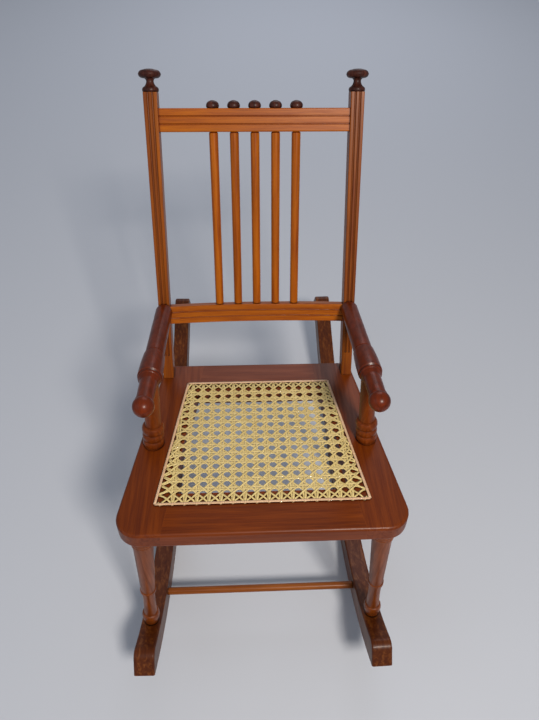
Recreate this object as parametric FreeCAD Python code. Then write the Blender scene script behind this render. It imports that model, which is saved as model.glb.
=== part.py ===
import FreeCAD, Part
import math
import os

# A child's wooden rocking chair with turned legs and arms, a reeded spindle back and a cane seat.
# Millimetres. +Z is up and +Y is the back of the chair. X = 0 is the plane of symmetry, the rockers
# stand on Z = 0, and Y = 0 is halfway along them.

Vector = FreeCAD.Vector
ORIGIN = Vector(0, 0, 0)
X_AXIS = Vector(1, 0, 0)
Z_AXIS = Vector(0, 0, 1)

# --- fits and small features shared by the joints
FIT_GAP = 0.1                # glue line round a tenon or dowel
END_GAP = 0.6                # glue pocket past the end of a tenon or dowel
TRIM = 8.0                   # waste left past a shoulder before it is cut to fit
STOCK = 900.0                # blank that is larger than the chair, for trimming shoulders

# --- rockers
ROCKER_LENGTH = 740.0
ROCKER_THICK = 29.0
ROCKER_HEIGHT = 35.5
ROCKER_LOW_Y = -65.0         # where the chair rests on the floor, under its centre of mass
FRONT_CURVE = 460.0          # radius of the underside in front of that point
REAR_CURVE = 950.0           # and behind it
ROCKER_FRONT_HALF = 166.0    # from the plane of symmetry to the middle of the rocker at its front tip
ROCKER_REAR_HALF = 149.6
ROCKER_NOSE = 13.0           # round on the upper corner of each end
ROCKER_EASE = 2.5            # eased long edges

# --- seat frame, in its own plane: x, distance back from the front edge, height above the top face
SEAT_FRONT_Y = -286.4
SEAT_FRONT_Z = 389.4
SEAT_TILT = 8.6              # degrees down to the back
SEAT_DEPTH = 284.0
SEAT_FRONT_HALF = 174.5      # half width that the sides would have at the front edge
SEAT_TAPER = 0.137           # each side draws in by this much per millimetre of depth
SEAT_THICK = 24.0
RAIL_WIDTH = 57.0            # side rails
CROSS_RAIL_WIDTH = 56.0      # front and rear rails
FRONT_CORNER = 28.0
REAR_CORNER = 16.0
SEAT_EASE = 4.0
DOWEL_DIAMETER = 8.0
DOWEL_LENGTH = 34.0
DOWEL_INSET = 15.0           # from the edges of the front and rear rails

# --- cane seat
CANE_FRONT_V = 41.0          # hole line along the front rail
CANE_REAR_V = 243.0          # hole line along the rear rail
CANE_HOLE_INSET = 15.0       # hole line from the inner edge of the side rails
CANE_PITCH = 14.2            # between holes along the front and rear rails
CANE_ROWS = 15               # spaces between the side holes
CANE_HOLE = 4.5
CANE_THICK = 2.2
BINDING_WIDTH = 4.6
BINDING_THICK = 2.8

# --- back
BACK_V = 267.1               # where the middle of the back posts meets the seat
BACK_BASE_HALF = 128.6
BACK_TOP_HALF = 126.6
BACK_LEAN = 28.6             # degrees from upright
POST_LENGTH = 372.5
POST_DEPTH = 20.0
POST_BASE_WIDTH = 14.6
POST_TOP_WIDTH = 17.0
POST_EASE = 1.2
POST_TENON = 9.0
POST_TENON_LENGTH = 17.0
REED_GROOVE = 1.6            # radius of the grooves between the posts' reeds
RAIL_GROOVE = 1.1            # and of the finer ones along the rails
REED_START = 32.0            # plain foot below the reeding
TOP_RAIL_BELOW_TOP = 18.0    # post top to rail top
TOP_RAIL_HEIGHT = 27.5
LOWER_RAIL_BOTTOM = 77.0
LOWER_RAIL_HEIGHT = 25.0
RAIL_THICK = 14.0
RAIL_EASE = 1.5
LOWER_RAIL_BOW = 8.0         # the lower rail bows backwards for the sitter
RAIL_TENON_THICK = 6.0
RAIL_TENON_LENGTH = 8.0
RAIL_TENON_SHOULDER = 4.0
LOWER_RAIL_TENON_BACK = 3.0  # set back in the post, clear of the arm's tenon
SPINDLE_COUNT = 5
SPINDLE_PITCH = 26.0
SPINDLE_TOP_RADIUS = 5.7
SPINDLE_BOTTOM_RADIUS = 5.5
SPINDLE_EASE = 1.0
SPINDLE_TENON_RADIUS = 3.5
SPINDLE_TENON_LENGTH = 9.0
BUTTON_TENON_RADIUS = 2.5
BUTTON_TENON_LENGTH = 7.0
FINIAL_TENON_RADIUS = 3.5
FINIAL_TENON_LENGTH = 14.0

# --- arms
ARM_REAR_UP = 97.0           # along the back post, from the seat to the axis of the arm
ARM_FRONT_HALF = 129.3       # ball end of the arm
ARM_FRONT_Y = -186.0
ARM_FRONT_Z = 498.0
ARM_TENON_RADIUS = 4.5
ARM_TENON_LENGTH = 8.0
ARM_POST_HALF = 137.5        # foot of the arm post on the seat
ARM_POST_V = 135.0
ARM_POST_REACH = 0.70        # share of the arm's length, from the back, where the post meets it
ARM_POST_TENON = 5.0
ARM_POST_TENON_LENGTH = 16.0
ARM_POST_TOP_TENON = 5.0     # into the arm, past the arm's axis

# --- legs and stretchers
FRONT_LEG_TOP_HALF = 143.0
FRONT_LEG_TOP_V = 21.0
FRONT_LEG_FOOT_Y = -292.0
REAR_LEG_TOP_HALF = 122.0
REAR_LEG_TOP_V = 232.0
REAR_LEG_FOOT_Y = -20.0
LEG_TENON_RADIUS = 7.0
LEG_TENON_LENGTH = 17.0
FRONT_STRETCHER_Y = -236.0
REAR_STRETCHER_Y = -62.0
STRETCHER_RADIUS = 5.7
STRETCHER_TENON_RADIUS = 4.2
STRETCHER_TENON_LENGTH = 14.0
STRETCHER_HEIGHT_SHARE = 0.62    # of the rocker's height, at the stretcher's axis

# --- turning profiles: (along, radius), or (along at middle, radius there, along, radius) for an arc
FINIAL_PROFILE = [
    (0.0, 9.2), (2.8, 10.1, 5.4, 9.0), (8.6, 5.6, 12.4, 4.5), (14.2, 5.2, 15.6, 8.4),
    (17.0, 12.2, 19.8, 13.7), (22.8, 12.4, 24.6, 9.2), (25.7, 4.6), (26.0, 0.0)]
BUTTON_PROFILE = [(0.0, 6.6), (0.9, 7.6, 2.4, 8.0), (5.6, 7.2, 7.8, 4.8), (8.9, 2.2), (9.2, 0.0)]

COLLAR_LENGTH = 22.0
LEG_COLLAR_RADIUS = 14.2
LEG_TOP_RADIUS = 12.6
LEG_WAIST_RADIUS = 9.7
LEG_WAIST_AT = 0.575         # share of the leg's length
LEG_RING_RADIUS = 10.7
LEG_NECK_RADIUS = 8.8
LEG_BEAD_RADIUS = 12.4
LEG_BEAD_LENGTH = 20.0
LEG_FOOT_RADIUS = 9.6
LEG_FOOT_LENGTH = 15.0
FINE_GROOVE = 0.8

LEG_COLLAR_GROOVES = 4
LEG_COLLAR_GROOVE_PITCH = 4.2
LEG_RING_LENGTH = 6.5

ARM_END_RADIUS = 9.6         # where the arm butts on the back post
ARM_SHAFT_RADIUS = 11.4      # its plain rear length
ARM_SHOULDER_RADIUS = 12.9   # where it steps out
ARM_SHOULDER_AT = 0.53       # share of the arm's length, from the back post to the ball's centre
ARM_BULGE_RADIUS = 14.4
ARM_BULGE_AT = 0.74
ARM_BEAD_LENGTH = 6.0
ARM_NECK_RADIUS = 9.8
ARM_COLLAR_LENGTH = 3.0      # raised ring behind the ball
ARM_BALL_RADIUS = 12.2

POST_RING_RADIUS = 13.4
POST_RING_HEIGHT = 11.0
POST_RING_COUNT = 3
POST_RING_STEP = 0.25        # each ring is this much larger than the one below
POST_RING_ROUND = 1.6        # how far each ring bulges
POST_SHAFT_RADIUS = 10.0
POST_TOP_RADIUS = 8.6


def seat_placement(depth=0.0):
    """Frame of the seat's top face: X across, Y back along the seat, Z out of it."""
    turn = FreeCAD.Rotation(X_AXIS, -SEAT_TILT)
    front = Vector(0, SEAT_FRONT_Y, SEAT_FRONT_Z)
    return FreeCAD.Placement(front + turn.multVec(Vector(0, 0, -depth)), turn)


def back_placement():
    """Frame of the back: X across, Y through the posts to the rear, Z up along them."""
    foot = seat_placement().multVec(Vector(0, BACK_V, 0))
    return FreeCAD.Placement(foot, FreeCAD.Rotation(X_AXIS, -BACK_LEAN))


def placed(shape, placement):
    """A copy of the shape, moved by the placement."""
    copy = shape.copy()
    copy.Placement = placement.multiply(shape.Placement)
    return copy


def solid_of(shape):
    """The single outward-facing solid of a shape."""
    solid = shape.Solids[0]
    if solid.Volume < 0:
        solid.reverse()
    return solid


def mirrored(shape):
    return shape.mirror(ORIGIN, X_AXIS)


def block(low, high):
    size = high - low
    return Part.makeBox(size.x, size.y, size.z, low)


def rod(start, end, radius):
    return Part.makeCylinder(radius, (end - start).Length, start, end - start)


def unit(vector):
    return vector * (1.0 / vector.Length)


def turned(profile, start, direction):
    """A lathe-turned solid about the line from start along direction."""
    edges = []
    first = Vector(profile[0][-1], 0, profile[0][-2])
    last = first
    for step in profile[1:]:
        end = Vector(step[-1], 0, step[-2])
        if len(step) == 4:
            edges.append(Part.Arc(last, Vector(step[1], 0, step[0]), end).toShape())
        else:
            edges.append(Part.makeLine(last, end))
        last = end
    corners = [last, Vector(0, 0, last.z), Vector(0, 0, first.z), first]
    for here, there in zip(corners, corners[1:]):
        if (there - here).Length > FIT_GAP / 2:
            edges.append(Part.makeLine(here, there))
    solid = solid_of(Part.Face(Part.Wire(edges)).revolve(ORIGIN, Z_AXIS, 360))
    solid.Placement = FreeCAD.Placement(start, FreeCAD.Rotation(Z_AXIS, direction))
    return solid


def fine_grooves(first, count, pitch, radius):
    """Profile steps for a run of small V grooves cut into a cylinder."""
    steps = []
    for index in range(count):
        middle = first + index * pitch
        steps.append((middle - FINE_GROOVE, radius))
        steps.append((middle, radius - FINE_GROOVE))
        steps.append((middle + FINE_GROOVE, radius))
    return steps


def eased(solid, radius, choose):
    """The solid with a round of this radius on the edges that choose() picks by their middle."""
    edges = [edge for edge in solid.Edges if choose(edge.valueAt(
        (edge.FirstParameter + edge.LastParameter) / 2), edge)]
    return solid.makeFillet(radius, edges)


# --- rockers


def rocker_half(y):
    """Distance from the plane of symmetry to the middle of a rocker at y."""
    share = (y + ROCKER_LENGTH / 2) / ROCKER_LENGTH
    return ROCKER_FRONT_HALF + (ROCKER_REAR_HALF - ROCKER_FRONT_HALF) * share


def rocker_curve(y):
    return FRONT_CURVE if y < ROCKER_LOW_Y else REAR_CURVE


def rocker_height(y, above_bottom):
    """Height of a curve that runs above_bottom inside the rocker's underside."""
    curve = rocker_curve(y)
    return curve - math.sqrt((curve - above_bottom) ** 2 - (y - ROCKER_LOW_Y) ** 2)


def rocker_point(side, y, above_bottom=ROCKER_HEIGHT):
    return Vector(side * rocker_half(y), y, rocker_height(y, above_bottom))


def rocker_edges(above_bottom):
    """Front and rear arcs of the rocker's outline at this height, in the YZ plane."""
    arcs = []
    for way, curve in ((-1, FRONT_CURVE), (1, REAR_CURVE)):
        reach = ROCKER_LENGTH / 2 - way * ROCKER_LOW_Y
        sweep = math.asin(reach / curve)
        points = []
        for share in (0.0, 0.5, 1.0):
            angle = way * sweep * share
            radius = curve - above_bottom
            points.append(Vector(0, ROCKER_LOW_Y + radius * math.sin(angle),
                                 curve - radius * math.cos(angle)))
        arcs.append(points)
    return arcs


def rocker_blank():
    """Right-hand rocker before its holes are drilled."""
    front_low, rear_low = rocker_edges(0.0)
    front_top, rear_top = rocker_edges(ROCKER_HEIGHT)
    outline = Part.Wire([
        Part.Arc(front_low[2], front_low[1], front_low[0]).toShape(),
        Part.Arc(rear_low[0], rear_low[1], rear_low[2]).toShape(),
        Part.makeLine(rear_low[2], rear_top[2]),
        Part.Arc(rear_top[2], rear_top[1], rear_top[0]).toShape(),
        Part.Arc(front_top[0], front_top[1], front_top[2]).toShape(),
        Part.makeLine(front_top[2], front_low[2])])
    solid = solid_of(Part.Face(outline).extrude(Vector(ROCKER_THICK, 0, 0)))
    noses = (front_top[2], rear_top[2])
    solid = eased(solid, ROCKER_NOSE, lambda middle, edge: any(
        abs(middle.y - nose.y) + abs(middle.z - nose.z) < 1 for nose in noses))
    solid = eased(solid, ROCKER_EASE, lambda middle, edge: edge.Length > ROCKER_THICK * 2
                  and middle.z > rocker_height(middle.y, ROCKER_HEIGHT / 2))
    toe = math.degrees(math.atan2(ROCKER_FRONT_HALF - ROCKER_REAR_HALF, ROCKER_LENGTH))
    solid.translate(Vector(rocker_half(0) - ROCKER_THICK / 2, 0, 0))
    solid.rotate(Vector(rocker_half(0), 0, 0), Z_AXIS, toe)
    return solid


# --- turned legs


def leg_profile(length):
    """From the seat down to the rocker, with waste past both shoulders."""
    waist = length * LEG_WAIST_AT
    ring = LEG_RING_LENGTH
    bead = length - LEG_FOOT_LENGTH - LEG_BEAD_LENGTH
    first = (COLLAR_LENGTH - LEG_COLLAR_GROOVE_PITCH * (LEG_COLLAR_GROOVES - 1)) / 2
    profile = [(-TRIM, LEG_COLLAR_RADIUS)]
    profile += fine_grooves(first, LEG_COLLAR_GROOVES, LEG_COLLAR_GROOVE_PITCH, LEG_COLLAR_RADIUS)
    profile += [
        (COLLAR_LENGTH, LEG_COLLAR_RADIUS), (COLLAR_LENGTH + 2, LEG_TOP_RADIUS),
        (waist, LEG_WAIST_RADIUS),
        (waist + 1, LEG_RING_RADIUS), (waist + ring, LEG_RING_RADIUS),
        (waist + ring + 1, LEG_NECK_RADIUS),
        ((waist + bead) / 2, LEG_NECK_RADIUS - 0.4, bead, LEG_NECK_RADIUS + 0.6),
        (bead + 1, LEG_BEAD_RADIUS - 1.5),
        (bead + LEG_BEAD_LENGTH / 2, LEG_BEAD_RADIUS, bead + LEG_BEAD_LENGTH - 1, LEG_BEAD_RADIUS - 1.5),
        (bead + LEG_BEAD_LENGTH, LEG_FOOT_RADIUS), (length + TRIM, LEG_FOOT_RADIUS)]
    return profile


def leg(top_half, top_v, foot_y, rocker):
    """A right-hand leg and the rods that drill its two tenon holes."""
    top = seat_placement(SEAT_THICK).multVec(Vector(top_half, top_v, 0))
    foot = rocker_point(1, foot_y)
    down = unit(foot - top)
    body = turned(leg_profile((foot - top).Length), top, down)
    over = block(Vector(0, -STOCK, 0), Vector(STOCK, STOCK, STOCK))
    over.Placement = seat_placement(SEAT_THICK)
    body = solid_of(body.cut(over).cut(rocker))
    reach = LEG_TENON_LENGTH
    tenons = [(top + down * LEG_TOP_RADIUS, top - down * reach),
              (foot - down * LEG_TOP_RADIUS, foot + down * reach)]
    for inner, outer in tenons:
        body = body.fuse(rod(inner, outer, LEG_TENON_RADIUS))
    holes = [rod(inner, outer + unit(outer - inner) * END_GAP, LEG_TENON_RADIUS + FIT_GAP)
             for inner, outer in tenons]
    return solid_of(body.removeSplitter()), holes


# --- stretchers


def stretcher(y):
    """A round bar between the rockers and the rod that drills its right-hand hole."""
    height = rocker_height(y, ROCKER_HEIGHT * STRETCHER_HEIGHT_SHARE)
    shoulder = rocker_half(y) - ROCKER_THICK / 2
    across = Vector(shoulder, y, height)
    reach = X_AXIS * STRETCHER_TENON_LENGTH
    tenon = rod(Vector(-shoulder, y, height) - reach, across + reach, STRETCHER_TENON_RADIUS)
    toe = (ROCKER_FRONT_HALF - ROCKER_REAR_HALF) / ROCKER_LENGTH
    relief = X_AXIS * (STRETCHER_RADIUS * toe + FIT_GAP / 2)
    body = rod(Vector(-shoulder, y, height) + relief, across - relief, STRETCHER_RADIUS)
    hole = rod(across - reach, across + reach + X_AXIS * END_GAP, STRETCHER_TENON_RADIUS + FIT_GAP)
    return solid_of(body.fuse(tenon).removeSplitter()), hole


# --- seat frame


def side_edge(v):
    return SEAT_FRONT_HALF - SEAT_TAPER * v


def side_rail_blank():
    """Right-hand side rail in the seat's own frame."""
    rear_edge = side_edge(SEAT_DEPTH)
    corners = [Vector(side_edge(0) - RAIL_WIDTH, 0), Vector(side_edge(0), 0),
               Vector(rear_edge, SEAT_DEPTH), Vector(rear_edge - RAIL_WIDTH, SEAT_DEPTH)]
    solid = Part.Face(Part.makePolygon(corners + corners[:1])).extrude(Vector(0, 0, -SEAT_THICK))
    for corner, radius in ((corners[1], FRONT_CORNER), (corners[2], REAR_CORNER)):
        solid = eased(solid, radius, lambda middle, edge: (
            math.hypot(middle.x - corner.x, middle.y - corner.y) < 1))
    return eased(solid, SEAT_EASE, lambda middle, edge: is_seat_rim(middle, edge)
                 and middle.x > side_edge(middle.y) - RAIL_WIDTH + 1)


def is_seat_rim(middle, edge):
    """True for the upper and lower edges of a rail that lies in the seat's frame."""
    level = min(abs(middle.z), abs(middle.z + SEAT_THICK)) < FIT_GAP
    flat = abs(edge.BoundBox.ZMax - edge.BoundBox.ZMin) < FIT_GAP
    return level and flat


def cross_rail_blank(near, far, outer_v):
    """Front or rear rail between the side rails; outer_v is its outside edge."""
    inner = [side_edge(v) - RAIL_WIDTH for v in (near, far)]
    corners = [Vector(-inner[0], near), Vector(inner[0], near),
               Vector(inner[1], far), Vector(-inner[1], far)]
    solid = Part.Face(Part.makePolygon(corners + corners[:1])).extrude(Vector(0, 0, -SEAT_THICK))
    return eased(solid, SEAT_EASE, lambda middle, edge: is_seat_rim(middle, edge)
                 and abs(middle.y - outer_v) < FIT_GAP)


def frame_dowels(radius, length):
    """Right-hand dowels across the joints of the side rail with the front and rear rails."""
    dowels = []
    rear_near = SEAT_DEPTH - CROSS_RAIL_WIDTH
    for near in (0.0, rear_near):
        for v in (near + DOWEL_INSET, near + CROSS_RAIL_WIDTH - DOWEL_INSET):
            joint = Vector(side_edge(v) - RAIL_WIDTH, v, -SEAT_THICK / 2)
            out = unit(Vector(1, SEAT_TAPER, 0))
            dowels.append(rod(joint - out * (length / 2), joint + out * (length / 2), radius))
    return dowels


# --- cane


def cane_half(v):
    """Half width of the trapezoid of holes at v."""
    return side_edge(v) - RAIL_WIDTH + CANE_HOLE_INSET


def cane_holes():
    """Rods that drill the ring of holes for the cane, all round the frame."""
    places = []
    for v in (CANE_FRONT_V, CANE_REAR_V):
        x = CANE_PITCH / 2
        while x < cane_half(v):
            places += [(-x, v), (x, v)]
            x += CANE_PITCH
    row = (CANE_REAR_V - CANE_FRONT_V) / CANE_ROWS
    for index in range(1, CANE_ROWS):
        v = CANE_FRONT_V + row * index
        places += [(-cane_half(v), v), (cane_half(v), v)]
    drills = [rod(Vector(x, v, -SEAT_THICK - 1), Vector(x, v, 1), CANE_HOLE / 2) for x, v in places]
    return Part.makeCompound(drills)


def cane_plate(grow, thick):
    """A plate over the trapezoid of holes, grown outwards by grow."""
    corners = []
    for v, side in ((CANE_FRONT_V - grow, -1), (CANE_FRONT_V - grow, 1),
                    (CANE_REAR_V + grow, 1), (CANE_REAR_V + grow, -1)):
        corners.append(Vector(side * (cane_half(v) + grow), v))
    return Part.Face(Part.makePolygon(corners + corners[:1])).extrude(Vector(0, 0, thick))


# --- back


def post_half(up):
    """Distance from the plane of symmetry to the middle of a back post."""
    return BACK_BASE_HALF + (BACK_TOP_HALF - BACK_BASE_HALF) * up / POST_LENGTH


def post_width(up):
    return POST_BASE_WIDTH + (POST_TOP_WIDTH - POST_BASE_WIDTH) * up / POST_LENGTH


def inner_face(up):
    """Inner face of the right-hand post."""
    return post_half(up) - post_width(up) / 2


def post_section(up):
    half = post_width(up) / 2
    middle = post_half(up)
    depth = POST_DEPTH / 2
    corners = [Vector(middle - half, -depth, up), Vector(middle + half, -depth, up),
               Vector(middle + half, depth, up), Vector(middle - half, depth, up)]
    return Part.makePolygon(corners + corners[:1])


def back_post_blank():
    """Right-hand post in the back's frame, reeded on its front face."""
    body = Part.makeLoft([post_section(-TRIM * 2), post_section(POST_LENGTH)], True, True)
    body = eased(solid_of(body), POST_EASE, lambda middle, edge: edge.Length > POST_LENGTH / 2)
    for way in (-1, 1):
        ends = []
        for up in (REED_START, POST_LENGTH + TRIM):
            ends.append(Vector(post_half(up) + way * post_width(up) / 6, -POST_DEPTH / 2, up))
        body = body.cut(rod(ends[0], ends[1], REED_GROOVE)).cut(Part.makeSphere(REED_GROOVE, ends[0]))
    return solid_of(body)


def back_post():
    """Right-hand post in the chair's frame, cut to the seat, with its tenon and the tenon's hole."""
    under = block(Vector(0, -STOCK, -STOCK), Vector(STOCK, STOCK, 0))
    under.Placement = seat_placement()
    body = back_post_blank().cut(back_post_mortises())
    body = solid_of(placed(body, back_placement()).cut(under))
    half = POST_TENON / 2
    tenon = block(Vector(BACK_BASE_HALF - half, -half, -POST_TENON_LENGTH),
                  Vector(BACK_BASE_HALF + half, half, TRIM))
    slack = FIT_GAP + half
    mortise = block(Vector(BACK_BASE_HALF - slack, -slack, -POST_TENON_LENGTH - END_GAP),
                    Vector(BACK_BASE_HALF + slack, slack, TRIM))
    whole = body.fuse(placed(tenon, back_placement())).removeSplitter()
    return solid_of(whole), placed(mortise, back_placement())


def rail_tenons(bottom, height, middle_y, grow=0.0, longer=0.0):
    """Both end tenons of a back rail as one bar through it, in the back's frame."""
    low = bottom + RAIL_TENON_SHOULDER
    high = bottom + height - RAIL_TENON_SHOULDER
    reach = inner_face(low) + RAIL_TENON_LENGTH + longer
    half = RAIL_TENON_THICK / 2 + grow
    return block(Vector(-reach, middle_y - half, low - grow), Vector(reach, middle_y + half, high + grow))


def top_rail_bottom():
    return POST_LENGTH - TOP_RAIL_BELOW_TOP - TOP_RAIL_HEIGHT


def back_post_mortises():
    """Everything that is cut out of the back posts for the rails, arms and finials."""
    cuts = [rail_tenons(top_rail_bottom(), TOP_RAIL_HEIGHT, 0.0, FIT_GAP, END_GAP),
            rail_tenons(LOWER_RAIL_BOTTOM, LOWER_RAIL_HEIGHT, LOWER_RAIL_TENON_BACK,
                        FIT_GAP, END_GAP)]
    top = Vector(post_half(POST_LENGTH), 0, POST_LENGTH)
    cuts.append(rod(top - Z_AXIS * (FINIAL_TENON_LENGTH + END_GAP), top + Z_AXIS,
                    FINIAL_TENON_RADIUS + FIT_GAP))
    cuts.append(placed(arm_tenon(FIT_GAP, END_GAP), back_placement().inverse()))
    return Part.makeCompound(cuts)


def rail_ends(bottom, height):
    """The space between the two posts, for cutting a rail's shoulders, in the back's frame."""
    corners = []
    for up in (bottom - TRIM, bottom + height + TRIM):
        corners.append(Vector(inner_face(up), -STOCK / 2, up))
    corners = [Vector(-corners[0].x, -STOCK / 2, corners[0].z)] + corners
    corners.append(Vector(-corners[2].x, -STOCK / 2, corners[2].z))
    return Part.Face(Part.makePolygon(corners + corners[:1])).extrude(Vector(0, STOCK, 0))


def top_rail():
    """Upper rail in the back's frame, with two grooves and holes for spindles and buttons."""
    bottom = top_rail_bottom()
    half = RAIL_THICK / 2
    wide = BACK_BASE_HALF
    body = block(Vector(-wide, -half, bottom), Vector(wide, half, bottom + TOP_RAIL_HEIGHT))
    body = eased(body, RAIL_EASE, lambda middle, edge: edge.Length > wide)
    body = body.common(rail_ends(bottom, TOP_RAIL_HEIGHT))
    for share in (1, 2):
        up = bottom + TOP_RAIL_HEIGHT * share / 3
        body = body.cut(rod(Vector(-wide, -half, up), Vector(wide, -half, up), RAIL_GROOVE))
    body = body.fuse(rail_tenons(bottom, TOP_RAIL_HEIGHT, 0.0)).removeSplitter()
    for x in spindle_places():
        crown = Vector(x, 0, bottom + TOP_RAIL_HEIGHT)
        body = body.cut(spindle_drill(x))
        body = body.cut(rod(crown - Z_AXIS * (BUTTON_TENON_LENGTH + END_GAP), crown + Z_AXIS,
                            BUTTON_TENON_RADIUS + FIT_GAP))
    return solid_of(body)


def bow_radius():
    """Radius of the lower rail's middle line in plan."""
    half = inner_face(LOWER_RAIL_BOTTOM)
    return (half ** 2 + LOWER_RAIL_BOW ** 2) / (2 * LOWER_RAIL_BOW)


def bow_at(x):
    """How far back the lower rail's middle line lies at x."""
    radius = bow_radius()
    return LOWER_RAIL_BOW - radius + math.sqrt(radius ** 2 - x ** 2)


def lower_rail():
    """Bowed lower rail in the back's frame, with two grooves and the spindles' lower holes."""
    radius = bow_radius()
    centre = Vector(0, LOWER_RAIL_BOW - radius, LOWER_RAIL_BOTTOM)
    half = RAIL_THICK / 2
    ring = Part.makeCylinder(radius + half, LOWER_RAIL_HEIGHT, centre)
    ring = ring.cut(Part.makeCylinder(radius - half, LOWER_RAIL_HEIGHT, centre))
    ring = eased(solid_of(ring), RAIL_EASE, lambda middle, edge: edge.Length > radius)
    body = ring.common(rail_ends(LOWER_RAIL_BOTTOM, LOWER_RAIL_HEIGHT))
    body = max(body.Solids, key=lambda solid: solid.CenterOfMass.y)
    for share in (1, 2):
        level = centre + Z_AXIS * (LOWER_RAIL_HEIGHT * share / 3)
        body = body.cut(Part.makeTorus(radius - half, RAIL_GROOVE, level))
    body = body.fuse(rail_end_tenons())
    for x in spindle_places():
        body = body.cut(spindle_drill(x))
    return solid_of(body.removeSplitter())


def rail_end_tenons():
    """The lower rail's tenons, only near its ends, because the rail bows away from a straight bar."""
    bar = rail_tenons(LOWER_RAIL_BOTTOM, LOWER_RAIL_HEIGHT, LOWER_RAIL_TENON_BACK)
    keep = inner_face(LOWER_RAIL_BOTTOM) - RAIL_THICK
    middle = block(Vector(-keep, -STOCK / 2, -STOCK), Vector(keep, STOCK / 2, STOCK))
    return bar.cut(middle)


def spindle_places():
    first = -SPINDLE_PITCH * (SPINDLE_COUNT - 1) / 2
    return [first + SPINDLE_PITCH * index for index in range(SPINDLE_COUNT)]


def spindle_line(x):
    """Shoulders of a spindle, on the lower rail and under the upper one, in the back's frame."""
    foot = Vector(x, bow_at(x), LOWER_RAIL_BOTTOM + LOWER_RAIL_HEIGHT)
    return foot, Vector(x, 0, top_rail_bottom())


def spindle_drill(x):
    """The rod along a spindle that makes the holes for both its tenons."""
    foot, head = spindle_line(x)
    reach = unit(head - foot) * (SPINDLE_TENON_LENGTH + END_GAP)
    return rod(foot - reach, head + reach, SPINDLE_TENON_RADIUS + FIT_GAP)


def spindle(x):
    """One spindle in the back's frame, from the lower rail to the upper one."""
    foot, head = spindle_line(x)
    up = unit(head - foot)
    length = (head - foot).Length
    lift = SPINDLE_BOTTOM_RADIUS * bow_at(x) / length
    low = lift
    high = length - lift
    profile = [
        (-SPINDLE_TENON_LENGTH, SPINDLE_TENON_RADIUS), (low, SPINDLE_TENON_RADIUS),
        (low, SPINDLE_BOTTOM_RADIUS - SPINDLE_EASE), (low + SPINDLE_EASE, SPINDLE_BOTTOM_RADIUS),
        (length / 3, SPINDLE_BOTTOM_RADIUS), (high - SPINDLE_EASE, SPINDLE_TOP_RADIUS),
        (high, SPINDLE_TOP_RADIUS - SPINDLE_EASE), (high, SPINDLE_TENON_RADIUS),
        (length + SPINDLE_TENON_LENGTH, SPINDLE_TENON_RADIUS)]
    return turned(profile, foot, up)


def topped(profile, tenon_radius, tenon_length):
    """A turning with a round tenon below its base, standing on the origin."""
    return [(-tenon_length, tenon_radius), (0.0, tenon_radius)] + profile


# --- arms


def arm_line():
    """Right-hand arm: where its axis leaves the back post's front face, and its ball's centre."""
    rear = back_placement().multVec(Vector(post_half(ARM_REAR_UP), -POST_DEPTH / 2, ARM_REAR_UP))
    return rear, Vector(ARM_FRONT_HALF, ARM_FRONT_Y, ARM_FRONT_Z)


def arm_tenon(grow=0.0, longer=0.0):
    rear, ball = arm_line()
    back = unit(rear - ball)
    return rod(rear - back * TRIM, rear + back * (ARM_TENON_LENGTH + longer), ARM_TENON_RADIUS + grow)


def arm_profile(length):
    """From the back post to the ball, whose centre is at the full length."""
    shoulder = ARM_SHOULDER_AT * length
    bulge = ARM_BULGE_AT * length
    bead = bulge + ARM_BEAD_LENGTH / 2
    neck = bead + ARM_BEAD_LENGTH * 1.5
    ball = length - math.sqrt(ARM_BALL_RADIUS ** 2 - (ARM_NECK_RADIUS + 1) ** 2)
    collar = ball - ARM_COLLAR_LENGTH
    profile = [
        (-TRIM, ARM_END_RADIUS), (0.0, ARM_END_RADIUS),
        (1.2, ARM_SHAFT_RADIUS - 0.5, 4.0, ARM_SHAFT_RADIUS),
        (shoulder - 2, ARM_SHAFT_RADIUS + 0.3)]
    profile += [
        (shoulder, ARM_SHAFT_RADIUS - 0.6), (shoulder + 1.5, ARM_SHOULDER_RADIUS),
        ((shoulder + bulge) / 2, (ARM_SHOULDER_RADIUS + ARM_BULGE_RADIUS) / 2 + 0.5,
         bulge, ARM_BULGE_RADIUS),
        (bulge + 1.5, ARM_BULGE_RADIUS - 2.2),
        (bead + 1, ARM_BULGE_RADIUS - 1.0, bead + ARM_BEAD_LENGTH / 2, ARM_BULGE_RADIUS - 2.2),
        (neck, ARM_NECK_RADIUS + 0.4), (collar - 1, ARM_NECK_RADIUS),
        (collar, ARM_NECK_RADIUS + 1), (ball, ARM_NECK_RADIUS + 1),
        (length, ARM_BALL_RADIUS, length + ARM_BALL_RADIUS, 0.0)]
    return profile


def armrest_blank():
    """Right-hand arm cut square to the back post, before its post hole is drilled."""
    rear, ball = arm_line()
    body = turned(arm_profile((ball - rear).Length), rear, unit(ball - rear))
    behind = block(Vector(0, -POST_DEPTH / 2, -STOCK), Vector(STOCK, STOCK, STOCK))
    behind.Placement = back_placement()
    return solid_of(solid_of(body.cut(behind)).fuse(arm_tenon()).removeSplitter())


def arm_post_line():
    rear, ball = arm_line()
    foot = seat_placement().multVec(Vector(ARM_POST_HALF, ARM_POST_V, 0))
    return foot, rear + (ball - rear) * ARM_POST_REACH


def arm_post_profile(length):
    profile = [(-TRIM, POST_RING_RADIUS)]
    for index in range(POST_RING_COUNT):
        base = index * POST_RING_HEIGHT
        radius = POST_RING_RADIUS + index * POST_RING_STEP
        profile += [(base, radius - POST_RING_ROUND), (base + POST_RING_HEIGHT / 2, radius,
                                                       base + POST_RING_HEIGHT, radius - POST_RING_ROUND)]
    rings = POST_RING_COUNT * POST_RING_HEIGHT
    profile += [(rings + 1, POST_SHAFT_RADIUS), (length, POST_TOP_RADIUS)]
    return profile


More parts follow.
